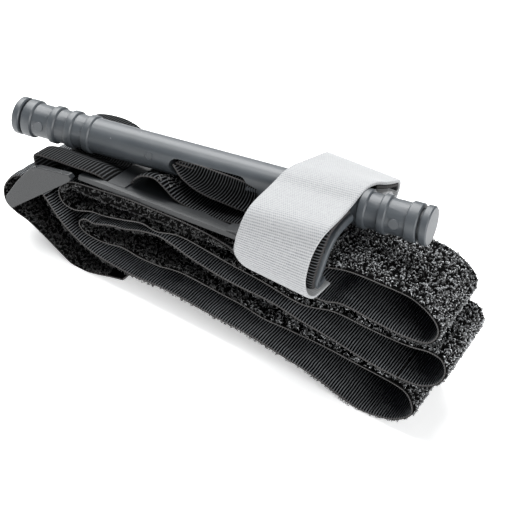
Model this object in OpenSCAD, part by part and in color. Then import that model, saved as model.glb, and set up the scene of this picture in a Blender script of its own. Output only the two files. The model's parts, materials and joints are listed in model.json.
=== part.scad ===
// Windlass tourniquet, folded flat for storage.
// Origin: middle of the footprint on the floor. +X runs along the band to the
// clip end, -Y faces the side the time strap is sewn to, +Z is up.

/* [Windlass rod] */
// Length of the windlass rod.
rod_len = 143.6; // [120:0.1:170]
// Radius of the plain part of the rod.
rod_r = 5.7; // [4:0.1:8]
// Radius of the grip rings at each end.
ring_r = 6.2; // [4.5:0.1:9]
// Radius of the smooth waist between the grip rings.
waist_r = 5.5; // [4:0.1:7]
// Radius at the bottom of the narrow end groove.
groove_r = 4.7; // [3:0.1:6]
// Height of the rod's middle above the floor.
rod_z = 44.5; // [35:0.1:60]
// Angle by which the rod climbs towards the clip.
rod_tilt = 10.87; // [0:0.01:20]
// Length of the slot the ribbon is threaded through.
slot_len = 27; // [15:0.5:40]
// Width of that slot.
slot_w = 5.4; // [3:0.1:8]
// Roll of the slot about the rod's own axis.
slot_roll = 9; // [0:1:45]

/* [Main band] */
// Width of the main band.
band_w = 38.1; // [25:0.1:50]
// Thickness of the woven band with its pile pressed flat.
band_t = 1.5; // [1:0.1:3]
// Width of the inner tension ribbon and of the time strap.
ribbon_w = 25.4; // [15:0.1:30]
// Thickness of the inner ribbon.
ribbon_t = 1.1; // [0.6:0.1:2]
// Width of the folded end that goes round the buckle.
fold_w = 29; // [20:0.5:38]

/* [Stabilization plate] */
// Width over both side rails.
plate_w = 37; // [30:0.5:50]
// Width of one side rail.
rail_w = 2.8; // [1.5:0.1:5]
// Height of a side rail.
rail_h = 1.6; // [1:0.1:4]
// Height of the rail's top face at the middle of the rod.
plate_z = 34.9; // [25:0.1:45]
// Slope of the plate, in degrees.
plate_tilt = 5.7; // [0:0.1:15]
// Left end of the plate, measured from the rod's middle.
plate_left = -36.5; // [-50:0.5:-20]

/* [Windlass clip] */
// Left edge of the clip, measured from the rod's middle.
clip_left = 22.3; // [10:0.1:40]
// Length of the clip along the rod.
clip_len = 25; // [15:0.1:35]
// Length of the saddle under the rod.
seat_len = 17.5; // [10:0.5:22]
// Running gap between the rod's rings and the saddle.
clip_gap = 0.4; // [0.2:0.1:1]

/* [Time strap] */
// Thickness of the time strap.
strap_t = 1.4; // [0.8:0.1:3]
// How far the strap stands out to each side.
strap_reach = 27; // [24:0.5:32]

/* [Buckle] */
// Outside width of the buckle.
buckle_w = 46; // [42:0.5:52]
// Thickness of the buckle's two side walls.
wall_t = 2.7; // [2:0.1:4]
// Radius of the buckle's two cross bars.
bar_r = 1.8; // [1.2:0.1:3]

/* [Hidden] */
// The rod's middle lies left of the middle of the whole folded kit.
shift_x = -11.1;
edge = 0.4;               // small bevel on moulded edges
span = 6;                 // steps between two points of a soft outline
rod_half = rod_len / 2;
round_fn = 96;
band_cut = 0.6;           // space left between two lengths of one band

plastic = [0.22, 0.23, 0.25];
webbing = [0.05, 0.05, 0.06];
pile = [0.08, 0.08, 0.09];
knit = [0.85, 0.86, 0.88];
thread = [0.3, 0.3, 0.32];

// ---- the folded band: middle line of each length as [x, z] ----
run_0 = [[-36.4, 27.2], [-26, 28], [-14, 29.6], [0, 31.2], [17, 33.2], [26, 36],
         [36, 38.6], [47, 40.9], [56, 43.3], [72, 44.6]];
loop_1 = [[72, 44.6], [79, 43.4], [84.8, 40.4], [86.9, 36.6], [84.9, 32.4], [79, 30.9]];
run_1 = [[79, 30.9], [68, 31], [57, 31.2], [50, 29.4], [36, 30.7], [15, 30.9],
         [0, 29.3], [-14, 27.7], [-26, 26], [-35, 25.4]];
loop_2 = [[-35, 25.4], [-39.4, 24.8], [-41.2, 22.5], [-39.2, 20.3], [-35, 20.4]];
run_2 = [[-35, 20.4], [-28.6, 22.7], [-21, 23.4], [-14, 25.5], [-4, 27], [12, 28.1],
         [30, 27.2], [45, 26], [55, 28.4], [66, 28.8], [79, 29.2]];
loop_3 = [[79, 29.2], [86.2, 30.6], [90.8, 29.8], [93.1, 26], [91.8, 21.2], [87, 17.8], [80, 16.9]];
run_3 = [[80, 16.9], [68, 17.6], [47, 19.4], [28, 20.7], [11, 21.5], [-3, 23.9],
         [-11, 22.7], [-20, 19.6], [-27, 17.6]];
loop_4 = [[-27, 17.6], [-30.4, 17.6], [-31.8, 16], [-30.4, 14.4], [-27, 14.2]];
run_4 = [[-27, 14.2], [-20, 13.7], [-11, 14.6], [0, 15.2], [12, 16.3], [25, 15.9],
         [36, 15.3], [50, 15.9], [64, 15.7], [78, 15.2]];
loop_5 = [[78, 15.2], [84.8, 13.8], [88.4, 9], [86.6, 4.9], [82, 1.9], [76.5, 0.7]];
run_5 = [[76.5, 0.7], [72, 0.5], [66, 1.5], [52, 4.2], [36, 6], [15, 7], [0, 7.3], [-12, 6.5],
         [-22, 6.9], [-30, 8.9], [-39, 12.9], [-46.2, 18.2]];
wrap = [[-46.2, 18.2], [-50, 20.6], [-54, 21.6], [-58, 20.2], [-60.4, 15.4],
        [-59, 11], [-55, 9.1], [-50, 8]];
tail = [[-50, 8], [-44, 5.7], [-37, 2.9], [-31, 0.7], [-26, 0.6], [-21, 1.7], [-18.4, 2.5]];
tip = [[-18.4, 2.5], [-15.6, 3.3], [-13, 4]];
fold = [[-22.6, 30.2], [-25, 30], [-30, 29.7], [-40, 29.2], [-46.5, 27.7], [-49.5, 24.7],
        [-47, 21.6], [-43.9, 23], [-42, 25.4], [-39.6, 26.9], [-36.6, 27.2]];

// ---- the time strap round the clip, as [y, height above the rod's axis] ----
strap_line = [[-27, -6], [-26.9, -2.6], [-24.6, 1.4], [-18, 4], [-10, 4.6], [-4, 6.2],
              [2, 7.4], [10, 6.6], [18, 6.4], [24.2, 3.6], [26.6, -1], [27, -5]];
hook_line = [[5, 6.0], [10, 5], [17.5, 4.8], [22.8, 2.4], [24.9, -1.4], [25.4, -5]];
ear_line = [[-24.2, -7], [-23.2, -4], [-20, -0.8], [-15, 0.9], [-9, 1]];

function mix4(a, b, c, d, t) =
    0.5 * (2 * b + (c - a) * t + (2 * a - 5 * b + 4 * c - d) * t * t
           + (3 * b - a - 3 * c + d) * t * t * t);
function clamp_i(i, n) = max(0, min(n - 1, i));
// Smooth curve through the given points.
function curve(p) = let (n = len(p)) concat(
    [for (i = [0 : n - 2]) for (k = [0 : span - 1])
        mix4(p[clamp_i(i - 1, n)], p[i], p[i + 1], p[clamp_i(i + 2, n)], k / span)],
    [p[n - 1]]);
function unit2(v) = v / norm(v);
function normal_at(c, i) = let (
    n = len(c),
    d = unit2(c[clamp_i(i + 1, n)] - c[clamp_i(i - 1, n)]))
    [-d[1], d[0]];
// Closed outline of a strip of one thickness along a curve.
function strip(c, t) = let (n = len(c)) concat(
    [for (i = [0 : n - 1]) c[i] + normal_at(c, i) * t / 2],
    [for (i = [n - 1 : -1 : 0]) c[i] - normal_at(c, i) * t / 2]);
// The curve with a little cut off its first end.
function trimmed(c) = let (d = unit2(c[1] - c[0]), clear = 1.5 * band_cut)
    concat([c[0] + d * band_cut], [for (q = c) if (norm(q - c[0]) > clear) q]);
// The curve pressed flat where it would sink into the floor.
function on_floor(c, t) = [for (q = c) [q[0], max(q[1], t / 2)]];

// A strip bent in the XZ plane and as wide as asked along Y.
module side_strip(points, t, w) {
    translate([shift_x, 0, 0])
        rotate([90, 0, 0])
            linear_extrude(w, center = true)
                polygon(strip(on_floor(trimmed(curve(points)), t), t));
}

// Children stand in the rod's own frame: X along it, its middle at 0.
module along_rod() {
    translate([shift_x, 0, rod_z])
        rotate([0, -rod_tilt, 0])
            children();
}

// A strip bent across the rod and running along it.
module cross_strip(points, t, x0, length) {
    along_rod()
        translate([x0, 0, 0])
            rotate([90, 0, 90])
                linear_extrude(length)
                    polygon(strip(curve(points), t));
}

// One grip ring with bevelled edges, standing on the rod's axis.
module ring(x0, width, r) {
    translate([x0, 0, 0])
        rotate([0, 90, 0])
            rotate_extrude($fn = round_fn)
                polygon([[0, 0], [r - edge, 0], [r, edge], [r, width - edge],
                         [r - edge, width], [0, width]]);
}

// Grip rings of one rod end as [start, width], counted in from the end.
grip_rings = [[0, 2.6], [3.4, 3.8], [13.3, 2.6], [19.6, 2.7], [26.1, 2.8]];
groove_end = 4;
waist_end = 14;
neck_end = 28;

module grip_end() {
    for (g = grip_rings)
        ring(g[0], g[1], ring_r);
    rod_core(0, groove_end, groove_r);
    rod_core(groove_end, waist_end - groove_end, waist_r);
    rod_core(waist_end - 1, neck_end - waist_end + 1, rod_r - 0.15);
    grip_button();
}

module rod_core(x0, length, r) {
    translate([x0, 0, 0])
        rotate([0, 90, 0])
            cylinder(length, r = r, $fn = round_fn);
}

// Small round moulding mark on the waist.
module grip_button() {
    button_x = 10.3;
    translate([button_x, 0, 0])
        rotate([90, 0, 0])
            cylinder(waist_r + 0.25, r = 1.6, $fn = 32);
}

module slot_cutter() {
    cut = 4 * rod_r;
    end_x = slot_len / 2 - slot_w / 2;
    rotate([slot_roll, 0, 0]) {
        cube([2 * end_x, cut, slot_w], center = true);
        for (side = [-1, 1])
            translate([side * end_x, 0, 0])
                rotate([90, 0, 0])
                    cylinder(cut, r = slot_w / 2, center = true, $fn = 48);
    }
}

module windlass_rod() {
    color(plastic)
        along_rod()
            difference() {
                union() {
                    rod_core(neck_end - 1 - rod_half, rod_len - 2 * (neck_end - 1), rod_r);
                    for (side = [0, 1])
                        mirror([side, 0, 0])
                            translate([-rod_half, 0, 0])
                                grip_end();
                }
                slot_cutter();
            }
}

// ---- plate under the rod ----
// A bar of the plate, laid along its slope; x is measured from the rod's middle.
module plate_bar(x0, x1, y0, y1, top, height) {
    translate([shift_x, 0, plate_z])
        rotate([0, -plate_tilt, 0])
            translate([x0, y0, top - height])
                cube([x1 - x0, y1 - y0, height]);
}

module stabilization_plate() {
    half = plate_w / 2;
    inner = half - rail_w / 2;
    rail_end = 20;
    bar_x = [-27.6, -21.6];
    floor_x = [bar_x[1] - 1, 19];
    floor_t = 0.9;
    floor_top = -0.7;
    color(plastic)
        union() {
            for (side = [0, 1])
                mirror([0, side, 0])
                    plate_bar(plate_left, rail_end, -half, -half + rail_w, 0, rail_h);
            plate_bar(bar_x[0], bar_x[1], -inner, inner, -0.1, rail_h - 0.2);
            plate_bar(floor_x[0], floor_x[1], -inner, inner, floor_top, floor_t);
            plate_foot(half - 0.3);
        }
}

// The stretch of the plate that climbs to the clip and lies under it.
module plate_foot(half) {
    foot_top = -9.7;
    foot_t = 1.7;
    ramp_x = clip_left - 9.5;
    ramp_drop = 0.8;
    foot_x = clip_left + seat_len;
    along_rod()
        translate([0, half, 0])
            rotate([90, 0, 0])
                linear_extrude(2 * half)
                    polygon([[ramp_x, foot_top - foot_t - ramp_drop],
                             [ramp_x + 3.5, foot_top - foot_t - ramp_drop],
                             [clip_left, foot_top - foot_t], [foot_x, foot_top - foot_t],
                             [foot_x, foot_top], [clip_left, foot_top], [ramp_x, foot_top - 1.1]]);
}

// ---- clip that holds the rod's end ----
// Both outlines lie across the rod as [y, height above its axis]. The near ear is a
// thin shell that curls over towards the rod; the saddle under the rod has a low far lip.
ear_outline = [[-20.6, -9.4], [-22.2, -8], [-22.4, -5.6], [-20.8, -2.2], [-16.8, -0.3], [-11, 0.5],
               [-7.4, 0.4], [-7.4, -1.5], [-11, -1.5], [-15.8, -2.3], [-18.8, -4], [-20.4, -6.2],
               [-20.4, -9]];

function saddle_outline(r) = [[-18.2, -9.65], [-21.2, -8.8], [-21.2, -7.6], [-9, -7.8], [-6, -r], [0, -r],
                              [12, -r - 0.9], [20.8, -r - 1.6], [21.4, -9], [18.4, -9.65]];

module windlass_clip() {
    color(plastic)
        union() {
            along_rod()
                translate([clip_left, 0, 0]) {
                    rotate([90, 0, 90])
                        linear_extrude(clip_len)
                            polygon(ear_outline);
                    rod_seat(ring_r + clip_gap);
                }
            ear_wing();
        }
}

module rod_seat(seat_r) {
    difference() {
        rotate([90, 0, 90])
            linear_extrude(seat_len)
                polygon(saddle_outline(seat_r));
        translate([-1, 0, 0])
            rotate([0, 90, 0])
                cylinder(seat_len + 2, r = seat_r, $fn = round_fn);
    }
}

// Thin wall of the near ear that hangs down beside the folded band.
module ear_wing() {
    wing_y = -20.5;
    wing_t = 1.7;
    wing_z = 35;
    joins_ear = rod_z - 5.8;
    climb = tan(rod_tilt);
    x0 = clip_left * cos(rod_tilt) + 1.4;
    x1 = x0 + clip_len * cos(rod_tilt) - 0.6;
    translate([shift_x, wing_y, 0])
        rotate([90, 0, 0])
            linear_extrude(wing_t)
                polygon([[x0, wing_z], [x1, wing_z],
                         [x1, joins_ear + x1 * climb], [x0, joins_ear + x0 * climb]]);
}

// ---- time strap ----
// Lower length, sewn in under the plate and standing up beside the ear.
module strap_base() {
    x0 = clip_left * cos(rod_tilt) + 0.6;
    x1 = x0 + ribbon_w;
    climb = tan(rod_tilt);
    hem_z = 32.4;
    hem_depth = 16;
    seam_z = rod_z - 6.9;
    y_out = -strap_reach - strap_t / 2;
    color(knit)
        union() {
            translate([shift_x, y_out + strap_t, 0])
                rotate([90, 0, 0])
                    linear_extrude(strap_t)
                        polygon([[x0, hem_z], [x1, hem_z],
                                 [x1, seam_z + x1 * climb], [x0, seam_z + x0 * climb]]);
            translate([shift_x + x0, y_out, hem_z])
                cube([ribbon_w, hem_depth, strap_t]);
        }
}

module time_strap() {
    color(knit)
        cross_strip(strap_line, strap_t, clip_left - 0.2, ribbon_w);
}

module strap_hook_patch() {
    color(pile)
        cross_strip(hook_line, 0.9, clip_left + 0.4, ribbon_w - 1.2);
}

module ear_loop_patch() {
    color(pile)
        cross_strip(ear_line, 0.8, clip_left + 0.4, clip_len - 0.8);
}

// ---- buckle ----
wall_shape = [[-57.6, 14.6], [-57, 12.6], [-54.8, 11.5], [-36.9, 30.2], [-36.4, 31.6],
              [-37.6, 32.4], [-48.6, 29.9], [-51, 28.6], [-54.8, 21.6]];
outer_bar = [-54.6, 15.2];
inner_bar = [-46.4, 24.6];

module buckle_wall() {
    rotate([90, 0, 0])
        linear_extrude(wall_t, center = true)
            polygon(wall_shape);
}

module buckle_bar(at) {
    translate([at[0], 0, at[1]])
        rotate([90, 0, 0])
            cylinder(buckle_w - wall_t, r = bar_r, center = true, $fn = 48);
}

module buckle_frame() {
    wall_y = (buckle_w - wall_t) / 2;
    color(plastic)
        translate([shift_x, 0, 0])
            union() {
                for (side = [-1, 1])
                    translate([0, side * wall_y, 0])
                        buckle_wall();
                buckle_bar(outer_bar);
                buckle_bar(inner_bar);
            }
}

module buckle_fold() {
    color(webbing) side_strip(fold, band_t, fold_w);
}

// ---- inner tension ribbon ----
module ribbon_hump() {
    hump = [[-19.6, 33.1], [-16.5, 33.9], [-13, 35.1], [-9.6, 34.6], [-6, 34.2]];
    translate([0, -1, 0])
        color(webbing) side_strip(hump, ribbon_t, ribbon_w - 2);
}

// Row of thread blocks that tacks the hump down.
module hump_stitching() {
    count = 7;
    pitch = 2.4;
    start = [-13.6, -13.2, 35.35];
    color(thread)
        for (i = [0 : count - 1])
            translate([shift_x + start[0], start[1] + i * pitch, start[2]])
                cube([2.2, 1.4, 0.7]);
}

module ribbon_lower() {
    lower = [[-5.8, 34.3], [2, 35.1], [12, 36.7], [16.5, 38.1]];
    translate([0, -1, 0])
        color(webbing) side_strip(lower, ribbon_t, ribbon_w - 2);
}

// The ribbon where it leaves the slot and runs down towards the clip.
module ribbon_side(side) {
    top = rod_z - 0.6;
    x0 = -8;
    x1 = 18;
    y0 = rod_r + 1.1;
    translate([shift_x, side * (y0 + ribbon_t / 2), 0])
        rotate([90, 0, 0])
            linear_extrude(ribbon_t, center = true)
                polygon([[x0, top - 1.4], [x0 + 2, top - 3.4], [x1, top - 3.6],
                         [x1, top + 1.9], [x0, top + 0.4]]);
}

module ribbon_near() { color(webbing) ribbon_side(-1); }

module ribbon_far() { color(webbing) ribbon_side(1); }

// Rolled ribbon inside the rod's slot.
module ribbon_in_slot() {
    color(webbing)
        along_rod()
            rotate([slot_roll, 0, 0])
                cube([slot_len - 5, 2 * rod_r + 1.4, 2.6], center = true);
}

// ---- main band ----
module band_run(points) { color(webbing) side_strip(points, band_t, band_w); }

module fold_loop(points) { color(pile) side_strip(points, band_t, band_w); }

windlass_rod();
stabilization_plate();
windlass_clip();
strap_base();
time_strap();
strap_hook_patch();
ear_loop_patch();
buckle_frame();
buckle_fold();
ribbon_hump();
hump_stitching();
ribbon_lower();
ribbon_near();
ribbon_in_slot();
ribbon_far();
band_run(run_0);  // band_run_0
fold_loop(loop_1);  // fold_loop_1
band_run(run_1);  // band_run_1
fold_loop(loop_2);  // fold_loop_2
band_run(run_2);  // band_run_2
fold_loop(loop_3);  // fold_loop_3
band_run(run_3);  // band_run_3
fold_loop(loop_4);  // fold_loop_4
band_run(run_4);  // band_run_4
fold_loop(loop_5);  // fold_loop_5
band_run(run_5);  // band_run_5
fold_loop(wrap);  // buckle_wrap
band_run(tail);  // band_tail
band_run(tip);  // tail_tip
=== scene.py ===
"""Looks of the folded windlass tourniquet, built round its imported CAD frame.

Lengths are in millimetres until a mesh is made. Points are [x, y, z] with x measured
from the middle of the windlass rod, and y and z as in the frame.
"""

import json
import math

import bpy
import numpy as np
from mathutils import Matrix, Vector


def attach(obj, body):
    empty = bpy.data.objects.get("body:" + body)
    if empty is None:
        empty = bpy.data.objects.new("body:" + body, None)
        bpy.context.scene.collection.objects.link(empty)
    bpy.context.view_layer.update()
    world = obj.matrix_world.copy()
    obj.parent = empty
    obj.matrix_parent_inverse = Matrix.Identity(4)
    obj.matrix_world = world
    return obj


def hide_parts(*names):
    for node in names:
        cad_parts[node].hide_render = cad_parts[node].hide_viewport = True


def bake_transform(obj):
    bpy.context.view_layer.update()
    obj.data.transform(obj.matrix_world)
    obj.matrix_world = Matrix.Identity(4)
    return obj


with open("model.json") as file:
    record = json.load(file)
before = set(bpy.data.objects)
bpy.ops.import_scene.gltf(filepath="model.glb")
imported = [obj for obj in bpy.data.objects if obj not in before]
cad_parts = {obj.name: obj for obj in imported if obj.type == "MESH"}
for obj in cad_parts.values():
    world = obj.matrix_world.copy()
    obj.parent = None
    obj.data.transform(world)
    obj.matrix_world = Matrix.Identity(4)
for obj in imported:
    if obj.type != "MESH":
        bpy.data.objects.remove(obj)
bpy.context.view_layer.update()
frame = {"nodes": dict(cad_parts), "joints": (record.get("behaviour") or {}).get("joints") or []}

MM = 0.001
JOINT_AT = {j["name"]: np.array(j["pos_m"]) / MM for j in frame["joints"]}
ROD_MID = JOINT_AT["windlass_turn"]
ROD_TILT = math.radians(10.87)
BAND_HALF = 19.05
RIB_PITCH = 0.85
RIBBON_PITCH = 0.95
WARP_PITCH = 0.32
WEFT_PITCH = 0.55
STITCH_PITCH = 0.62
SELVAGE_WIDTH = 0.24
ROWS_PER_RIB = 4
BAND_STEP = RIB_PITCH / ROWS_PER_RIB
RIBBON_STEP = RIBBON_PITCH / ROWS_PER_RIB
FLOOR_GAP = 0.03


# ---- curves and grids ----
def unit(v):
    """The vectors at length 1."""
    return v / np.maximum(np.linalg.norm(v, axis=-1, keepdims=True), 1e-9)


def smooth(points, per=14):
    """A Catmull-Rom curve through points of any dimension."""
    p = np.asarray(points, float)
    p = np.vstack([2 * p[0] - p[1], p, 2 * p[-1] - p[-2]])
    t = np.linspace(0, 1, per, endpoint=False)[:, None]
    spans = [
        0.5 * (2 * b + (c - a) * t + (2 * a - 5 * b + 4 * c - d) * t**2
               + (3 * b - a - 3 * c + d) * t**3)
        for a, b, c, d in zip(p, p[1:], p[2:], p[3:])
    ]
    return np.vstack(spans + [p[-2:-1]])


def even(curve, step, dims):
    """The curve again at even steps, measured on its first dims coordinates."""
    lengths = np.linalg.norm(np.diff(curve[:, :dims], axis=0), axis=1)
    at = np.concatenate([[0], np.cumsum(lengths)])
    count = max(2, round(at[-1] / step))
    wanted = np.linspace(0, at[-1], count + 1)
    return np.stack([np.interp(wanted, at, column) for column in curve.T], 1)


def across_steps(half, step=1.6):
    """Millimetres across a strip, close together at its two edges."""
    rim = 1.2
    edge = half - np.array([0, 0.08, 0.25, 0.6, rim])
    inner = np.linspace(-half + rim, half - rim, max(3, round(2 * half / step)))
    return np.concatenate([-edge[:-1], inner, edge[:-1][::-1]])


def spread(cols):
    """Shares across a strip from -1 to 1, close together at its two edges."""
    inner = np.linspace(-1, 1, cols)[1:-1]
    return np.concatenate([[-1, -0.985, -0.95], inner, [0.95, 0.985, 1]])


def ease(share):
    """A soft step from 0 to 1."""
    share = np.clip(share, 0, 1)
    return share * share * (3 - 2 * share)


def to_frame(points):
    """Millimetres from the rod's middle to metres in the frame."""
    moved = np.array(points, float)
    moved[..., 0] += ROD_MID[0]
    return moved * MM


# ---- meshes ----
def quad_mesh(name, points, quads, materials, kinds=None, uv=None, values=None):
    """One object from arrays of points and of four-sided faces."""
    mesh = bpy.data.meshes.new(name)
    mesh.vertices.add(len(points))
    mesh.vertices.foreach_set("co", to_frame(points).astype(np.float32).ravel())
    mesh.loops.add(4 * len(quads))
    mesh.loops.foreach_set("vertex_index", quads.astype(np.int32).ravel())
    mesh.polygons.add(len(quads))
    mesh.polygons.foreach_set("loop_start", np.arange(0, 4 * len(quads), 4, dtype=np.int32))
    for material in materials:
        mesh.materials.append(material)
    if kinds is not None:
        mesh.polygons.foreach_set("material_index", kinds.astype(np.int32))
    if uv is not None:
        layer = mesh.uv_layers.new(name="weave")
        layer.data.foreach_set("uv", uv[quads.ravel()].astype(np.float32).ravel())
    for key, value in (values or {}).items():
        attribute = mesh.attributes.new(key, "FLOAT", "POINT")
        attribute.data.foreach_set("value", value.astype(np.float32))
    mesh.update(calc_edges=True)
    mesh.polygons.foreach_set("use_smooth", np.ones(len(quads), bool))
    made = bpy.data.objects.new(name, mesh)
    bpy.context.scene.collection.objects.link(made)
    return made


def grid_quads(rows, cols):
    """Faces of a grid that is closed round its columns."""
    i, j = np.meshgrid(np.arange(rows - 1), np.arange(cols), indexing="ij")
    k = (j + 1) % cols
    corners = [i * cols + j, i * cols + k, (i + 1) * cols + k, (i + 1) * cols + j]
    return np.stack(corners, -1).reshape(-1, 4)


def grid_normals(mid):
    """The direction of a strip's front at each point of its grid."""
    return unit(np.cross(np.gradient(mid, axis=1), np.gradient(mid, axis=0)))


# A strip is rounded off this near its edge.
ROUND_RIM = 0.35
# Its ribs are low this near its edge, and grow to full height over the next stretch.
PLAIN_RIM = 0.5
RIB_FADE = 0.6


def thickness_share(rim):
    """How much of its thickness a strip has at a distance from its edge."""
    return np.sqrt(np.clip(1 - (1 - np.clip(rim / ROUND_RIM, 0, 1)) ** 2, 0.08, 1))


def rib_height(along, rim, rib, pitch):
    """Height of the ribs, which are low near the edge."""
    ribs = 0.5 + 0.5 * np.cos(2 * math.pi * along / pitch)[:, None]
    return rib * ribs * np.clip((rim - PLAIN_RIM) / RIB_FADE, 0.15, 1)


def slab(name, mid, thick, materials, rib=0.0, pitch=RIB_PITCH):
    """A woven strip with ribs across its front; mid is a grid [along, across, xyz].

    materials are those of its front, back and edges.
    """
    rows, cols = mid.shape[:2]
    normal = grid_normals(mid)
    step = np.linalg.norm(np.diff(mid[:, cols // 2], axis=0), axis=1)
    along = np.concatenate([[0], np.cumsum(step)])
    width = np.linalg.norm(np.diff(mid, axis=1), axis=2)
    across = np.concatenate([np.zeros((rows, 1)), np.cumsum(width, axis=1)], axis=1)
    rim = np.minimum(across, across[:, -1:] - across)
    half_thick = thickness_share(rim) * thick / 2
    front = mid + normal * (half_thick + rib_height(along, rim, rib, pitch))[..., None]
    back = mid - normal * half_thick[..., None]
    ring = np.concatenate([front, back[:, ::-1]], axis=1)
    ring[..., 2] = np.maximum(ring[..., 2], FLOOR_GAP)
    quads = grid_quads(rows, 2 * cols)
    column = np.tile(np.arange(2 * cols), rows - 1)
    kinds = np.where(column < cols - 1, 0, 1)
    kinds[(column == cols - 1) | (column == 2 * cols - 1)] = 2
    first = np.arange(cols - 1)
    cap = np.stack([first, 2 * cols - 1 - first, 2 * cols - 2 - first, first + 1], -1)
    last = cap[:, ::-1] + (rows - 1) * 2 * cols
    quads = np.concatenate([quads, cap, last])[:, ::-1]
    kinds = np.concatenate([kinds, np.full(2 * len(cap), 2)])
    both = np.concatenate([across, across[:, ::-1]], axis=1)
    uv = np.stack([np.broadcast_to(along[:, None], both.shape), both], -1).reshape(-1, 2)
    edge = np.concatenate([rim, rim[:, ::-1]], axis=1).ravel()
    return quad_mesh(name, ring.reshape(-1, 3), quads, materials, kinds, uv, {"rim": edge})


def sample(grid, row, col):
    """Values of a grid between its rows and columns."""
    i = np.clip(row.astype(int), 0, grid.shape[0] - 2)
    j = np.clip(col.astype(int), 0, grid.shape[1] - 2)
    a = (row - i)[:, None]
    b = (col - j)[:, None]
    near = grid[i, j] * (1 - b) + grid[i, j + 1] * b
    far = grid[i + 1, j] * (1 - b) + grid[i + 1, j + 1] * b
    return near * (1 - a) + far * a


def scatter(rng, mid, per_mm2):
    """Random rows and columns, spread evenly over a strip's area."""
    rows, cols = mid.shape[:2]
    long = np.linalg.norm(np.diff(mid[:, cols // 2], axis=0), axis=1).sum()
    reach = np.linalg.norm(np.diff(mid[rows // 2], axis=0), axis=1)
    across = np.concatenate([[0], np.cumsum(reach)])
    count = int(long * across[-1] * per_mm2)
    row = rng.uniform(0, rows - 1, count)
    col = np.interp(rng.uniform(0, across[-1], count), across, np.arange(cols))
    return row, col


# A loop is an arc from one angle to the other, in degrees, made as a thin tube.
CURL_ARC = (-25, 205)
CURL_RINGS = 5
CURL_SIDES = 3
THREAD_RADIUS = 0.115
# A few loops are longer than the rest.
LONG_SHARE = 0.04
LONG_BY = 1.5
# Painted shade on the pile: left of the first x its tones have this share of their brightness, and right
# of the second they have all of it.
PAINTED_SHADE_X = (18, 46)
PAINTED_SHADE_SHARE = 0.22


def curls(name, mid, material, seed, per_mm2=1.5, size=0.43, base=0.42):
    """Thread loops, about size in radius, that stand on the back of a strip.

    Their feet are base away from the strip's middle.
    """
    rng = np.random.default_rng(seed)
    row, col = scatter(rng, mid, per_mm2)
    count = len(row)
    out = unit(-sample(grid_normals(mid), row, col))
    side = unit(sample(np.gradient(mid, axis=1), row, col))
    ahead = np.cross(side, out)
    turn = rng.uniform(0, 2 * math.pi, count)[:, None]
    lean = rng.normal(0, 0.35, (count, 2))
    flat = side * np.cos(turn) + ahead * np.sin(turn)
    up = unit(out + side * lean[:, :1] + ahead * lean[:, 1:])
    radius = size * rng.uniform(0.65, 1.15, count)
    radius[rng.uniform(0, 1, count) < LONG_SHARE] *= LONG_BY
    tall = rng.uniform(1.0, 1.9, count)
    bow = np.radians(np.linspace(*CURL_ARC, CURL_RINGS))[None, :, None, None]
    spin = (np.arange(CURL_SIDES) * 2 * math.pi / CURL_SIDES)[None, None, :, None]
    flat, up, out = (v[:, None, None, :] for v in (flat, up, out))
    radius, tall = (v[:, None, None, None] for v in (radius, tall))
    spoke = flat * np.cos(bow) + up * np.sin(bow)
    centre = radius * (flat * np.cos(bow) + up * np.sin(bow) * tall)
    tube = THREAD_RADIUS * (spoke * np.cos(spin) + np.cross(flat, up) * np.sin(spin))
    foot = sample(mid, row, col)[:, None, None, :] + out * base
    points = (foot + centre + tube).reshape(-1, 3)
    points[:, 2] = np.maximum(points[:, 2], FLOOR_GAP)
    each = CURL_RINGS * CURL_SIDES
    quads = grid_quads(CURL_RINGS, CURL_SIDES)[None] + (np.arange(count) * each)[:, None, None]
    # Painted shade: each loop's random tone is darkened towards the left, by its x.
    painted_shade_factor = np.interp(foot[:, 0, 0, 0], PAINTED_SHADE_X, [PAINTED_SHADE_SHARE, 1])
    tone_and_painted_shade = np.repeat(rng.uniform(0, 1, count) * painted_shade_factor, each)
    # Painted highlight: the top of each loop's arc is where it is painted light.
    tip = np.broadcast_to(np.sin(bow).clip(0, 1), tube.shape[:3] + (1,)).ravel()
    values = {"tone_and_painted_shade": tone_and_painted_shade, "tip": tip}
    return quad_mesh(name, points, quads.reshape(-1, 4), [material], values=values)


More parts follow.
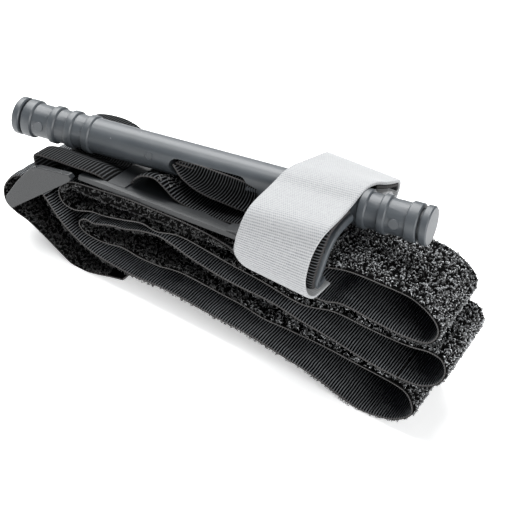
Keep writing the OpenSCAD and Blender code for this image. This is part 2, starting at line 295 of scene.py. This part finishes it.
# ---- materials ----
class Nodes:
    """A material's node tree with short ways to add and join nodes."""

    def __init__(self, name):
        self.material = bpy.data.materials.new(name)
        self.material.use_nodes = True
        self.tree = self.material.node_tree
        self.shader = self.tree.nodes["Principled BSDF"]

    def add(self, kind, **settings):
        made = self.tree.nodes.new("ShaderNode" + kind)
        for key, value in settings.items():
            setattr(made, key, value)
        return made

    def put(self, value, socket):
        """Joins a node's output to the socket, or sets a constant on it."""
        if isinstance(value, bpy.types.NodeSocket):
            self.tree.links.new(value, socket)
        else:
            socket.default_value = value

    def math(self, operation, a, b=0.0, clamp=False):
        made = self.add("Math", operation=operation, use_clamp=clamp)
        self.put(a, made.inputs[0])
        self.put(b, made.inputs[1])
        return made.outputs[0]

    def noise(self, scale, detail, vector=None):
        made = self.add("TexNoise")
        made.inputs["Scale"].default_value = scale
        made.inputs["Detail"].default_value = detail
        if vector is not None:
            self.put(vector, made.inputs["Vector"])
        else:
            self.put(self.add("TexCoord").outputs["Object"], made.inputs["Vector"])
        return made.outputs["Fac"]

    def ramp(self, value, *stops):
        """A colour ramp; each stop is (place, grey or colour)."""
        made = self.add("ValToRGB")
        bar = made.color_ramp.elements
        while len(bar) < len(stops):
            bar.new(0.5)
        for element, (place, colour) in zip(bar, stops):
            element.position = place
            element.color = colour if hasattr(colour, "__len__") else (colour, colour, colour, 1)
        self.put(value, made.inputs["Fac"])
        return made.outputs["Color"]

    def mix(self, share, a, b):
        made = self.add("Mix", data_type="RGBA")
        self.put(share, made.inputs[0])
        self.put(a, made.inputs[6])
        self.put(b, made.inputs[7])
        return made.outputs[2]

    def attribute(self, name):
        return self.add("Attribute", attribute_name=name).outputs["Fac"]

    def weave(self):
        """Millimetres along and across a strip."""
        split = self.add("SeparateXYZ")
        self.put(self.add("UVMap", uv_map="weave").outputs["UV"], split.inputs[0])
        return split.outputs["X"], split.outputs["Y"]

    def wave(self, value, pitch):
        """A cosine of that pitch, from 0 to 1, highest at 0."""
        turns = self.math("MULTIPLY", value, 2 * math.pi / pitch)
        return self.math("MULTIPLY", self.math("ADD", self.math("COSINE", turns), 1.0), 0.5)

    def bump(self, height, distance, strength):
        made = self.add("Bump")
        made.inputs["Distance"].default_value = distance * MM
        made.inputs["Strength"].default_value = strength
        self.put(height, made.inputs["Height"])
        self.put(made.outputs["Normal"], self.shader.inputs["Normal"])

    def finish(self, colour, rough, specular=0.5, **constants):
        """Sets the shader; constants are its sockets, with _ for each space."""
        self.put(colour, self.shader.inputs["Base Color"])
        self.put(rough, self.shader.inputs["Roughness"])
        self.shader.inputs["Specular IOR Level"].default_value = specular
        for key, value in constants.items():
            self.shader.inputs[key.replace("_", " ")].default_value = value
        return self.material


def grey(level, blue=1.0):
    """A grey that leans to blue when blue is over 1."""
    return (level * (2 - blue), level, level * blue, 1)


def moulded_plastic(name, level, rough):
    """Satin moulded nylon with fine grain, faint flow streaks and tiny bright nicks."""
    n = Nodes(name)
    place = n.add("TexCoord").outputs["Object"]
    stretch = n.add("Mapping")
    stretch.inputs["Scale"].default_value = (0.12, 1, 1)
    n.put(place, stretch.inputs["Vector"])
    cloud = n.noise(90, 4)
    streaks = n.noise(420, 3, stretch.outputs[0])
    grain = n.noise(3200, 2)
    tone = n.math("ADD", n.math("MULTIPLY", cloud, 0.6), n.math("MULTIPLY", streaks, 0.4))
    colour = n.ramp(tone, (0.3, grey(level * 0.8, 1.14)), (0.7, grey(level * 1.2, 1.12)))
    nick = n.ramp(n.noise(700, 1), (0.79, 0.0), (0.83, 1.0))
    colour = n.mix(n.math("MULTIPLY", nick, 0.45), colour, grey(0.32, 1.02))
    n.bump(n.math("ADD", n.math("MULTIPLY", grain, 0.5), streaks), 0.045, 0.7)
    shine = n.ramp(tone, (0.25, rough - 0.04), (0.75, rough + 0.06))
    return n.finish(colour, shine)


def ribbed_webbing(name, groove_shade, crest_highlight, selvage_highlight_level, pitch=RIB_PITCH):
    """Grosgrain: ribs across the strip, fine warp threads and a smooth selvage; crests are painted light
    as a highlight, grooves near black as shade, and the selvage lighter as an edge highlight.
    """
    n = Nodes(name)
    along, across = n.weave()
    wander = n.math("MULTIPLY", n.noise(140, 2), 0.5)
    rib = n.wave(n.math("ADD", along, wander), pitch)
    warp = n.wave(across, WARP_PITCH)
    thread = n.noise(1500, 2)
    crest_patches = n.noise(60, 3)
    # Painted highlight on the rib crests, brighter and dimmer in random patches; painted shade in the
    # grooves.
    top = n.math("POWER", rib, 4.0)
    lit = n.math("MULTIPLY", top, n.math("ADD", 0.45, n.math("MULTIPLY", thread, 1.1)))
    lit = n.math("MULTIPLY", lit, n.math("ADD", 0.6, n.math("MULTIPLY", crest_patches, 0.8)), clamp=True)
    colour = n.mix(lit, grey(groove_shade), grey(crest_highlight, 1.05))
    # The selvage along each edge, painted lighter as an edge highlight, with a tick for each weft turn.
    rim = n.math("SUBTRACT", 1.0, n.math("DIVIDE", n.attribute("rim"), SELVAGE_WIDTH), clamp=True)
    tick = n.math("ADD", 0.45, n.math("MULTIPLY", n.wave(along, WEFT_PITCH), 0.55))
    cool = selvage_highlight_level * 0.94
    colour = n.mix(n.math("MULTIPLY", rim, tick), colour, (selvage_highlight_level, cool, cool, 1))
    height = n.math("ADD", rib, n.math("MULTIPLY", n.math("ADD", warp, thread), 0.25))
    n.bump(height, 0.12, 0.6)
    return n.finish(colour, n.ramp(thread, (0.2, 0.5), (0.8, 0.75)), specular=0.04, IOR=1.15)


def selvage(level):
    """The rolled edge of a woven strip, with a tick for each weft turn."""
    n = Nodes("selvage")
    along = n.weave()[0]
    tick = n.wave(along, WEFT_PITCH)
    thread = n.noise(900, 2)
    tone = n.math("ADD", n.math("MULTIPLY", tick, 0.5), n.math("MULTIPLY", thread, 0.5))
    warm = (level * 1.25, level * 1.15, level * 1.12, 1)
    colour = n.ramp(tone, (0.25, grey(level * 0.45)), (0.75, warm))
    n.bump(tone, 0.1, 0.7)
    return n.finish(colour, 0.6, 0.35)


def pile_backing():
    """The dark cloth that the thread loops stand on."""
    n = Nodes("pile_backing")
    fuzz = n.noise(1400, 4)
    colour = n.ramp(fuzz, (0.35, 0.002), (0.8, 0.006))
    n.bump(fuzz, 0.5, 1.0)
    return n.finish(colour, 0.95, 0.0)


def pile_thread():
    """Black thread loops; each has its own tone, darkened by painted shade towards the left, and its tip
    is painted lightest as a highlight.
    """
    n = Nodes("pile_thread")
    tone = n.math("POWER", n.attribute("tone_and_painted_shade"), 1.6)
    tip = n.math("POWER", n.attribute("tip"), 3.0)
    fibre = n.noise(2500, 2)
    lit = n.math("MULTIPLY", n.math("MULTIPLY", tone, tip), n.math("ADD", 0.5, fibre), clamp=True)
    colour = n.mix(lit, grey(0.001), grey(1.0, 1.03))
    n.bump(fibre, 0.06, 0.6)
    return n.finish(colour, 0.45, 0.8)


def knit(name, level):
    """Pale strap cloth: close rows across it and small stitches in each row."""
    n = Nodes(name)
    along, across = n.weave()
    wander = n.math("MULTIPLY", n.noise(120, 2), 0.35)
    row = n.wave(n.math("ADD", along, wander), RIB_PITCH)
    stitch = n.wave(n.math("ADD", across, n.math("MULTIPLY", along, 0.5)), STITCH_PITCH)
    fuzz = n.noise(1100, 4)
    tone = n.math("ADD", n.math("MULTIPLY", row, 0.42), n.math("MULTIPLY", fuzz, 0.45))
    tone = n.math("ADD", tone, n.math("MULTIPLY", stitch, 0.22))
    low = (level * 0.56, level * 0.58, level * 0.61, 1)
    high = (level, level * 1.015, level * 1.03, 1)
    colour = n.ramp(tone, (0.22, low), (0.62, high))
    n.bump(tone, 0.16, 0.7)
    return n.finish(colour, 0.85, 0.2, Sheen_Weight=0.25, Sheen_Roughness=0.5)


def stitch_thread():
    """Bonded sewing thread with a twist."""
    n = Nodes("stitch_thread")
    twist = n.noise(2600, 2)
    colour = n.ramp(twist, (0.3, 0.02), (0.7, 0.22))
    n.bump(twist, 0.06, 0.8)
    return n.finish(colour, 0.35, 0.6)


def floor_paper():
    """White paper with a little light of its own, so that shadows on it stay pale."""
    n = Nodes("floor_paper")
    soft = n.noise(8, 3)
    own_light = {"Emission_Color": (1, 1, 1, 1), "Emission_Strength": 0.42}
    return n.finish(n.ramp(soft, (0.3, 0.93), (0.7, 0.95)), 0.9, 0.1, **own_light)


ROD_PLASTIC = moulded_plastic("rod_plastic", level=0.056, rough=0.42)
CLIP_PLASTIC = moulded_plastic("clip_plastic", level=0.013, rough=0.42)
BUCKLE_PLASTIC = moulded_plastic("buckle_plastic", level=0.012, rough=0.26)
# The ribbed cloths' groove and crest levels are painted shade and painted highlight, and their rim level
# is a painted edge highlight.
BAND_RIBS = ribbed_webbing("band_ribs", groove_shade=0.0003, crest_highlight=0.2, selvage_highlight_level=0.08)
FOLD_RIBS = ribbed_webbing("fold_ribs", groove_shade=0.005, crest_highlight=0.06, selvage_highlight_level=0.06)
RIBBON_RIBS = ribbed_webbing("ribbon_ribs", groove_shade=0.0003, crest_highlight=0.07, selvage_highlight_level=0.06, pitch=RIBBON_PITCH)
SELVAGE = selvage(level=0.055)
BACKING = pile_backing()
PILE = pile_thread()
STRAP_KNIT = knit("strap_knit", level=0.34)
STRAP_EDGE = knit("strap_edge", level=0.40)
HOOK_TAPE = ribbed_webbing("hook_tape", groove_shade=0.003, crest_highlight=0.08, selvage_highlight_level=0.06)
THREAD = stitch_thread()
# Front, back and edges of a strip.
BAND_CLOTH = [BAND_RIBS, BACKING, SELVAGE]
RIBBON_CLOTH = [RIBBON_RIBS, RIBBON_RIBS, SELVAGE]


# ---- main band ----
# Middle line of each length of the band as [x, z, lift, inset], in order from the plate
# to the tip. The near edge curls up by the lift and stops short by the inset; either is 0
# where it is left out.
BAND = {
    "band_run_0": [[-36.4, 27.2, 0, 1.7], [-26, 28, 0, 1.7], [-14, 29.6, 0, 1.7], [0, 31.2, 0, 1.7],
                   [17, 33.2, 0, 1.7], [26, 36, 0, 0.8], [36, 38.6], [47, 40.9], [56, 43.3], [72, 44.6]],
    "fold_loop_1": [[72, 44.6], [79, 43.4], [84.8, 40.4], [86.9, 36.6], [84.9, 32.4],
                    [79, 30.9]],
    "band_run_1": [[79, 30.9], [68, 31], [57, 31.2], [50, 29.4], [36, 30.6], [24, 30.7], [15, 30.7, 1.6],
                   [0, 29.3, 3.2], [-14, 27.7, 3.8], [-26, 26, 4.0], [-35, 25.4, 3.1]],
    "fold_loop_2": [[-35, 25.4, 3.1], [-39.4, 24.8, 1.9], [-41.2, 22.5, 0.8], [-39.2, 20.3], [-35, 19.8]],
    "band_run_2": [[-35, 19.8], [-29.4, 21.9], [-24, 22.7], [-18, 24.3], [-11.5, 26.4], [-6, 26.2],
                   [1.2, 28.2], [12, 27.9], [30, 26.9], [45, 26], [55, 28.4], [66, 28.8], [79, 29.2]],
    "fold_loop_3": [[79, 29.2], [86.2, 30.6], [90.8, 29.8], [93.1, 26], [91.8, 21.2],
                    [87, 17.8], [80, 16.9]],
    "band_run_3": [[80, 16.9], [68, 17.5], [47, 19.6], [37, 20.7], [26, 20.7], [14, 21.3], [6, 22.2],
                   [0, 23.6], [-5.4, 24.1], [-11, 22.9], [-16.5, 20.7], [-21.4, 19.6], [-27, 17.6]],
    "fold_loop_4": [[-27, 17.6], [-30.4, 17.6], [-31.8, 16], [-30.4, 14.4], [-27, 13.6]],
    "band_run_4": [[-27, 13.6], [-21.8, 13.6], [-15.8, 14.9], [-9.5, 14.7], [-2.3, 15.1], [6.5, 16.4],
                   [24.7, 16.1], [35, 15], [45, 15.7], [64, 15.7], [78, 15.2]],
    "fold_loop_5": [[78, 15.2], [84.8, 13.8], [88.4, 9], [86.6, 4.9], [82, 1.9], [76.5, 0.7]],
    "band_run_5": [[76.5, 0.7], [72, 0.5], [66, 1.5], [52, 4.2], [36, 6], [15, 7], [0, 7.3],
                   [-12, 6.5], [-22, 6.9], [-30, 8.9], [-39, 12.9], [-46.2, 18.2]],
    "buckle_wrap": [[-46.2, 18.2], [-50, 20.6], [-54, 21.6], [-58, 20.2], [-60.4, 15.4],
                    [-59, 11], [-55, 9.1], [-50, 8]],
    "band_tail": [[-50, 8], [-44, 5.7], [-37, 2.9], [-31, 0.7], [-26, 0.6], [-21, 1.7],
                  [-18.4, 2.5]],
    "tail_tip": [[-18.4, 2.5], [-15.6, 3.3], [-13, 4]],
}
# The bodies that a length joins; a length with one body just rides on it.
BAND_BODIES = {
    "band_run_0": ["base"], "fold_loop_1": ["base", "band_1"],
    "band_run_1": ["band_1"], "fold_loop_2": ["band_1", "band_2"],
    "band_run_2": ["band_2"], "fold_loop_3": ["band_2", "band_3"],
    "band_run_3": ["band_3"], "fold_loop_4": ["band_3", "band_4"],
    "band_run_4": ["band_4"], "fold_loop_5": ["band_4", "band_5"],
    "band_run_5": ["band_5"], "buckle_wrap": ["band_5", "tail"],
    "band_tail": ["tail"], "tail_tip": ["tail"],
}
WEAVE_THICK = 0.8
WEAVE_OFFSET = -0.35
BAND_RIB = 0.25
SEALED_RIB = 0.04
# Width of the near edge that curls up, and how far the cloth beside it is drawn to it.
FLAP = 3.4
FLAP_PULL = 2.4
# Heights of a long wave, which grows towards the far edge, and of a short one.
SAG = 0.35
RIPPLE = 0.12


def band_lines():
    """Each length's evenly stepped line and pile-side normal, smooth from one to the next."""
    joined = []
    starts = {}
    for name, points in BAND.items():
        points = [point + [0] * (4 - len(point)) for point in points]
        starts[name] = max(len(joined) - 1, 0)
        joined += points if not joined else points[1:]
    per = 24
    whole = smooth(joined, per)
    ahead = unit(np.gradient(whole[:, :2], axis=0))
    track = np.hstack([whole[:, :2], -ahead[:, 1:], ahead[:, :1], whole[:, 2:]])
    lines = {}
    for name, points in BAND.items():
        first = starts[name] * per
        part = track[first:first + (len(points) - 1) * per + 1]
        lines[name] = even(part, BAND_STEP, 2)
    return lines


def band_grid(line):
    """The weave's middle surface, curled up at its near edge and a little wavy."""
    ys = across_steps(BAND_HALF)
    x, z, side_x, side_z, lift, inset = (line[:, i:i + 1] for i in range(6))
    from_near = (ys + BAND_HALF) / FLAP
    curl = 1 - ease(from_near)
    depth = (ys + BAND_HALF) / (2 * BAND_HALF)
    pulled = np.clip(lift, 0, 1) * FLAP_PULL * (depth - np.clip(from_near, 0, 1))
    grid = np.zeros((len(line), len(ys), 3))
    grid[..., 0] = x + WEAVE_OFFSET * side_x
    grid[..., 1] = ys + inset * (1 - depth) + pulled
    grid[..., 2] = z + WEAVE_OFFSET * side_z + lift * curl
    x = grid[..., 0]
    grid[..., 2] += SAG * depth * np.sin(x / 9 + 2 * depth) + RIPPLE * np.sin(x / 4 + ys)
    return grid


def follow(piece, bodies, ends):
    """Rides on one body, or else stays fixed where it is made."""
    if len(bodies) == 1:
        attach(piece, bodies[0])
    else:
        [Vector(to_frame(p)) for p in ends]
        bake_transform(piece)


def band_pieces():
    """The weave and the pile of each length; the tip is pressed flat and has no pile."""
    for seed, (name, line) in enumerate(band_lines().items()):
        grid = band_grid(line)
        ends = [np.array([line[i, 0], 0, line[i, 1]]) for i in (0, -1)]
        smooth_tip = name == "tail_tip"
        rib = SEALED_RIB if smooth_tip else BAND_RIB
        woven = slab(name + "_weave", grid, WEAVE_THICK, BAND_CLOTH, rib)
        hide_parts(name)
        follow(woven, BAND_BODIES[name], ends)
        if not smooth_tip:
            pile = curls(name + "_pile", grid[::ROWS_PER_RIB], PILE, seed)
            follow(pile, BAND_BODIES[name], ends)


# ---- lofted cloth strips ----
LOFT_COLS = 28
TRAY_COLS = 30


def loft(rows, step):
    """A grid from rows of [near edge xyz, middle xyz, far edge xyz] along a strip."""
    track = smooth([np.concatenate(row) for row in rows])
    measured = np.hstack([track[:, 3:6], track])
    track = even(measured, step, 3)[:, 3:]
    near, middle, far = (track[:, None, i:i + 3] for i in (0, 3, 6))
    t = spread(LOFT_COLS)[None, :, None]
    return near * t * (t - 1) / 2 + middle * (1 - t * t) + far * t * (t + 1) / 2


def tray(rows, step, dip=0.62):
    """A grid of a strip that runs along x, with one height in the middle and two at its sides.

    Each row is [x, middle z, near edge z, far edge z, half width, edge x]; the heights
    change from the middle out to dip, a share of the half width.
    """
    track = even(smooth(rows), step, 2)
    x, z, near_z, far_z, half, edge_x = (track[:, i:i + 1] for i in range(6))
    t = spread(TRAY_COLS)[None, :]
    side = ease(np.abs(t) / dip)
    edge_z = np.where(t < 0, near_z, far_z)
    return np.stack([x + (edge_x - x) * side, half * t, z + (edge_z - z) * side], -1)


def buckle_fold():
    """The band's end, gathered round the buckle's inner bar and laid back under the rod."""
    rows = [
        [-36.2, 27.0, 27.1, 27.2, 19.0, -36.2], [-39.6, 26.7, 26.9, 27.0, 18.9, -39.6],
        [-42.6, 25.0, 25.6, 25.8, 18.6, -42.8], [-44.6, 22.4, 23.8, 24.2, 18.2, -45.2],
        [-48.4, 21.6, 24.4, 25.4, 18.0, -49.2], [-50.2, 24.4, 28.0, 29.5, 18.2, -52.2],
        [-48.8, 27.2, 30.8, 32.6, 18.4, -52.6], [-44.4, 28.6, 31.8, 35.0, 18.2, -47.5],
        [-38, 29.3, 32.6, 36.2, 18.0, -40.5], [-33, 29.5, 33.0, 35.8, 17.0, -34.5],
        [-29.6, 29.8, 32.6, 33.6, 16.0, -29.8], [-26.8, 29.9, 30.6, 30.8, 15.0, -27.0],
        [-22.8, 30.1, 30.3, 30.3, 14.4, -22.8],
    ]
    made = slab("buckle_fold_cloth", tray(rows, BAND_STEP), 0.9, [FOLD_RIBS] * 3, rib=0.1)
    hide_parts("buckle_fold")
    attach(made, "base")


RIBBON_THICK = 0.8
FOLDED_THICK = 0.75
# The part of the hump's grid that carries the stitching.
CROWN_ROWS = slice(34, 58, 3)
NEAR_HALF = slice(2, 16)


def inner_ribbon():
    """The stitched hump right of the cross bar and the ribbon that runs on from it."""
    rows = [
        [-20.8, 33.0, 32.9, 32.9, 12.0, -21.2], [-18.8, 34.0, 35.2, 35.2, 12.4, -20.2],
        [-16, 34.8, 37.6, 36.4, 12.6, -17.8], [-12.8, 35.3, 38.6, 36.2, 12.6, -13.8],
        [-9.6, 35.1, 37.0, 35.2, 12.4, -9.9], [-5.6, 34.4, 34.7, 34.4, 12.0, -5.6],
        [1.5, 34.6, 34.0, 34.1, 11.8, 1.5], [10.4, 36.0, 35.1, 35.1, 12.2, 10.4],
        [18, 38.2, 37.2, 37.2, 12.4, 18],
    ]
    grid = tray(rows, RIBBON_STEP, dip=0.9)
    made = slab("inner_ribbon_cloth", grid[:, ::-1], RIBBON_THICK, RIBBON_CLOTH,
                rib=0.12, pitch=RIBBON_PITCH)
    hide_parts("ribbon_hump", "ribbon_lower")
    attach(made, "base")
    crown = grid[CROWN_ROWS, NEAR_HALF]
    stitches = curls("hump_stitches", crown, THREAD, seed=77, per_mm2=0.7, size=0.36, base=0.25)
    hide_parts("hump_stitching")
    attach(stitches, "base")


def side_ribbon(name, side):
    """The ribbon as it leaves the slot on one side and runs down towards the clip.

    The lists are [x, y, z] along its edges and middle on the near side.
    """
    lower = [[-11.4, -6.6, 42.6], [-6.6, -8, 40.2], [0.3, -8.3, 38.7],
             [9.6, -8.3, 38.9], [18, -8.2, 39.6]]
    hollow = [[-11.2, -4.8, 42.2], [-5.5, -4.8, 41.6], [2, -4.9, 41.0],
              [10.5, -4.9, 41.8], [18, -4.9, 42.6]]
    upper = [[-10.6, -5.0, 43.8], [-4.5, -5.4, 45.6], [3, -5.6, 46.6],
             [11, -5.6, 47.4], [17, -5.4, 47.2]]
    mirror = np.array([1, -side, 1])
    rows = [[point * mirror for point in row] for row in zip(upper, hollow, lower)]
    grid = loft(rows, RIBBON_STEP)
    if side > 0:
        grid = grid[:, ::-1]
    return slab(name, grid, RIBBON_THICK, RIBBON_CLOTH, rib=0.14, pitch=RIBBON_PITCH)


def along_rod(point):
    """From [along the rod, y, height over its axis] to the millimetres used here."""
    x, y, up = point
    return [x * math.cos(ROD_TILT) - up * math.sin(ROD_TILT), y,
            ROD_MID[2] + x * math.sin(ROD_TILT) + up * math.cos(ROD_TILT)]


def ribbon_in_slot():
    """The folded ribbon where it passes through the rod."""
    rows = [
        [along_rod([x, -5.2, 0.2]), along_rod([x, 0, 0.9]), along_rod([x, 5.2, 1.7])]
        for x in np.linspace(-11.4, 11.4, 6)
    ]
    grid = loft(rows, RIBBON_STEP)
    made = slab("ribbon_in_slot_cloth", grid, 2 * FOLDED_THICK, RIBBON_CLOTH,
                rib=0.14, pitch=RIBBON_PITCH)
    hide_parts("ribbon_in_slot")
    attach(made, "windlass")


# The mould mark: its place along and round the rod, its ring's and its wire's radius, and
# how far it lies from the rod's axis.
MARK_ALONG = -20.6
MARK_TURN = math.radians(4)
MARK_RADIUS = 1.3
MARK_WIRE = 0.17
MARK_ON_ROD = 5.7


def rod_mark():
    """The small raised ring that the mould leaves on the rod."""
    round_ring = np.linspace(0, 2 * math.pi, 28, endpoint=False)
    round_wire = np.linspace(0, 2 * math.pi, 6, endpoint=False)
    points = []
    for a in np.append(round_ring, 0):
        for b in round_wire:
            reach = MARK_RADIUS + MARK_WIRE * math.cos(b)
            along = MARK_ALONG + reach * math.cos(a)
            around = MARK_TURN + reach * math.sin(a) / MARK_ON_ROD
            out = MARK_ON_ROD + MARK_WIRE * math.sin(b)
            points.append(along_rod([along, -out * math.cos(around), out * math.sin(around)]))
    quads = grid_quads(len(round_ring) + 1, len(round_wire))
    made = quad_mesh("rod_mould_mark", np.array(points), quads, [ROD_PLASTIC])
    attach(made, "windlass")


def slot_ribbons():
    """The ribbon on both sides of the rod."""
    for side, node in ((-1, "ribbon_near"), (1, "ribbon_far")):
        made = side_ribbon(node + "_cloth", side)
        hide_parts(node)
        Vector(to_frame([0, 0, 38.6]))
        Vector(to_frame([0, 0, 44.5]))
        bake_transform(made)


# ---- time strap ----
# Rows of the strap from its sewn end over the clip and rod to its far end, as [y, height
# at mid width, climb along x, shift along x, how much is missing at the left edge].
STRAP_ROWS = [
    [-12, 32.0, 0, 2.4, 7], [-18, 31.9, 0, 2.2, 7], [-22, 31.5, 0, 1.6, 6.2],
    [-25.2, 33.2, 0.01, 0.2, 3.6], [-26.6, 37, 0.06, -1.3, 1.9], [-27.1, 41.8, 0.11, -1.8, 1.8],
    [-27.1, 46, 0.16, -1.7, 1.7], [-26.2, 50, 0.19, -1.1, 1.1], [-23.6, 52.7, 0.19, -0.4, 0.4],
    [-19, 53.8, 0.18, 0, 0], [-12, 54.4, 0.17, 0, 0], [-7, 55.1, 0.18, 0, 0],
    [-2.6, 57, 0.2, 0.4, 0], [2, 57.8, 0.21, 1, 0], [7, 57.6, 0.19, 2.0, 0],
    [13, 56.7, 0.12, 3.3, 0], [19.5, 55.7, 0.07, 4.3, 0], [23.8, 54.4, 0.07, 4.5, 0],
    [26.2, 51.6, 0.08, 4.6, 0], [27, 47.6, 0.1, 4.6, 0], [25.6, 44.8, 0.1, 4.6, 0],
    [22.8, 45.4, 0.1, 4.6, 0], [21.6, 48.8, 0.09, 4.5, 0], [18.6, 52, 0.08, 4.3, 0],
    [13, 53.4, 0.1, 3.8, 0], [8.4, 53.9, 0.12, 3.2, 0],
]
HOOK_ROWS = STRAP_ROWS[14:19]
# Rows of the tape on the near ear, like the strap's without their last value, and the
# tape's thickness at each.
EAR_ROWS = [
    [-18.5, 33.7, 0.02, 0.6], [-21.4, 33.8, 0.04, 0.6], [-23.7, 35.8, 0.08, 0.6],
    [-24.5, 39.4, 0.12, 0.5], [-24.5, 43.5, 0.17, 0.4], [-24, 47.2, 0.19, 0.3],
    [-21.7, 50.8, 0.19, 0], [-17.4, 52.2, 0.19, 0], [-11.6, 52.6, 0.19, 0],
    [-7.6, 52.5, 0.19, 0],
]
EAR_THICK = [1.2, 1.6, 2.4, 3.2, 3.4, 3.0, 2.3, 1.8, 1.6, 1.6]
# Such rows for the narrow moulded lip, which stands this far from the strap's middle.
LIP_SHIFT = 12.2
LIP_ROWS = [
    [y, z, climb, LIP_SHIFT] for y, z, climb in (
        (-15.5, 34.6, 0.1), (-18.4, 33.9, 0.1), (-20.8, 35.4, 0.12), (-21.3, 39, 0.17),
        (-21.3, 43.5, 0.19), (-20.9, 48, 0.19), (-18.6, 51, 0.19), (-14.4, 52.3, 0.19),
        (-10.5, 52.6, 0.19), (-7.4, 52.7, 0.19),
    )
]
STRAP_MID = 34.7
STRAP_HALF = 12.7


def strap_grid(rows, half, drop=0.0):
    """A strip bent across the rod, from rows like STRAP_ROWS, lowered by the drop."""
    rows = [row + [0] * (5 - len(row)) for row in rows]
    track = even(smooth(rows), BAND_STEP, 2)
    xs = across_steps(half, step=1.2)
    y, z, climb, shift, missing = (track[:, i:i + 1] for i in range(5))
    xs = xs + missing * (half - xs) / (2 * half)
    grid = np.zeros((*xs.shape, 3))
    grid[..., 0] = STRAP_MID + shift + xs
    grid[..., 1] = y
    grid[..., 2] = z + climb * xs
    return grid - grid_normals(grid) * drop


def time_strap():
    """The pale strap over the clip and the rod."""
    grid = strap_grid(STRAP_ROWS, STRAP_HALF)
    made = slab("time_strap_cloth", grid, 1.0, [STRAP_KNIT, STRAP_EDGE, STRAP_EDGE], rib=0.07)
    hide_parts("time_strap", "strap_base")
    hinge = JOINT_AT["strap_open"] - [ROD_MID[0], 0, 0]
    Vector(to_frame(hinge + [0, -2, -4]))
    Vector(to_frame(hinge + [0, 3, 4]))
    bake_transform(made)


def strap_hook():
    """Hook tape sewn under the strap's far half."""
    grid = strap_grid(HOOK_ROWS, STRAP_HALF - 0.3, drop=1.3)
    made = slab("strap_hook_tape", grid, 1.4, [HOOK_TAPE] * 3, rib=0.12)
    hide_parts("strap_hook_patch")
    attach(made, "strap")


def ear_patch():
    """Loop tape on the near ear, under the strap."""
    both = smooth([row + [thick] for row, thick in zip(EAR_ROWS, EAR_THICK)])
    thick = even(both, BAND_STEP, 2)[:, 4:]
    grid = strap_grid(EAR_ROWS, STRAP_HALF - 0.1)
    made = slab("ear_loop_tape", grid, thick, [HOOK_TAPE] * 3, rib=0.14)
    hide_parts("ear_loop_patch")
    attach(made, "base")


def ear_lip():
    """The thickened end of the near ear that shows beside the strap."""
    made = slab("ear_lip", strap_grid(LIP_ROWS, half=1.9), 2.2, [ROD_PLASTIC] * 3)
    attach(made, "base")


# ---- moulded parts kept from the frame ----
def bevelled(node, width, material):
    """A CAD part with its own plastic and softly rounded edges.

    Its corners are joined first, since an edge between split corners can't be rounded.
    """
    part = frame["nodes"][node]
    part.data.materials.clear()
    part.data.materials.append(material)
    joined = part.modifiers.new("joined", "WELD")
    joined.merge_threshold = 0.01 * MM
    bevel = part.modifiers.new("soft_edges", "BEVEL")
    bevel.width = width * MM
    bevel.segments = 3
    bevel.limit_method = "ANGLE"
    bevel.angle_limit = math.radians(35)
    bevel.harden_normals = True


def moulded_parts():
    """The four rigid parts, each with the width of its soft edges."""
    bevelled("windlass_rod", 0.2, ROD_PLASTIC)
    bevelled("stabilization_plate", 0.25, CLIP_PLASTIC)
    bevelled("windlass_clip", 0.3, CLIP_PLASTIC)
    bevelled("buckle_frame", 1.0, BUCKLE_PLASTIC)


# ---- camera, floor and lights ----
def camera():
    turn = math.radians(16.8)
    rise = math.radians(30.6)
    roll = math.radians(17.43)
    distance = 441.28
    back = np.array([math.sin(turn) * math.cos(rise), -math.cos(turn) * math.cos(rise), math.sin(rise)])
    right = np.array([math.cos(turn), math.sin(turn), 0])
    up = np.cross(back, right)
    local_x = math.cos(roll) * right + math.sin(roll) * up
    local_y = -math.sin(roll) * right + math.cos(roll) * up
    target = to_frame([21.34, 0, 21.9])
    data = bpy.data.cameras.new("camera")
    data.lens = 97.9
    data.sensor_width = 36
    data.clip_start = 0.01
    made = bpy.data.objects.new("camera", data)
    turned = Matrix([local_x, local_y, back]).transposed().to_4x4()
    made.matrix_world = Matrix.Translation(Vector(target + back * distance * MM)) @ turned
    bpy.context.scene.collection.objects.link(made)
    bpy.context.scene.camera = made


def area_light(name, place, aim, size, power):
    """A round soft light; its place, aim and size are in metres."""
    data = bpy.data.lights.new(name, "AREA")
    data.shape = "DISK"
    data.size = size
    data.energy = power
    made = bpy.data.objects.new(name, data)
    made.location = place
    made.rotation_euler = (Vector(place) - Vector(aim)).to_track_quat("Z", "Y").to_euler()
    bpy.context.scene.collection.objects.link(made)


def studio():
    floor_half = 3000.0
    corners = floor_half * np.array([[-1, -1, 0], [1, -1, 0], [1, 1, 0], [-1, 1, 0]])
    paper = quad_mesh("floor", corners, np.array([[0, 1, 2, 3]]), [floor_paper()])
    aim = (0, 0, 0.02)
    area_light("key", (-0.58, 0.36, 1.05), aim, size=1.4, power=42)
    area_light("fill", (1.0, -0.6, 0.45), aim, size=0.9, power=15)
    world = bpy.data.worlds.new("soft_room")
    world.use_nodes = True
    world.node_tree.nodes["Background"].inputs["Color"].default_value = (0.95, 0.98, 1, 1)
    world.node_tree.nodes["Background"].inputs["Strength"].default_value = 0.26
    bpy.context.scene.world = world
    bpy.context.scene.view_settings.view_transform = "Standard"


camera()
studio()
moulded_parts()
band_pieces()
buckle_fold()
inner_ribbon()
slot_ribbons()
ribbon_in_slot()
rod_mark()
time_strap()
strap_hook()
ear_patch()
ear_lip()

bpy.context.view_layer.update()
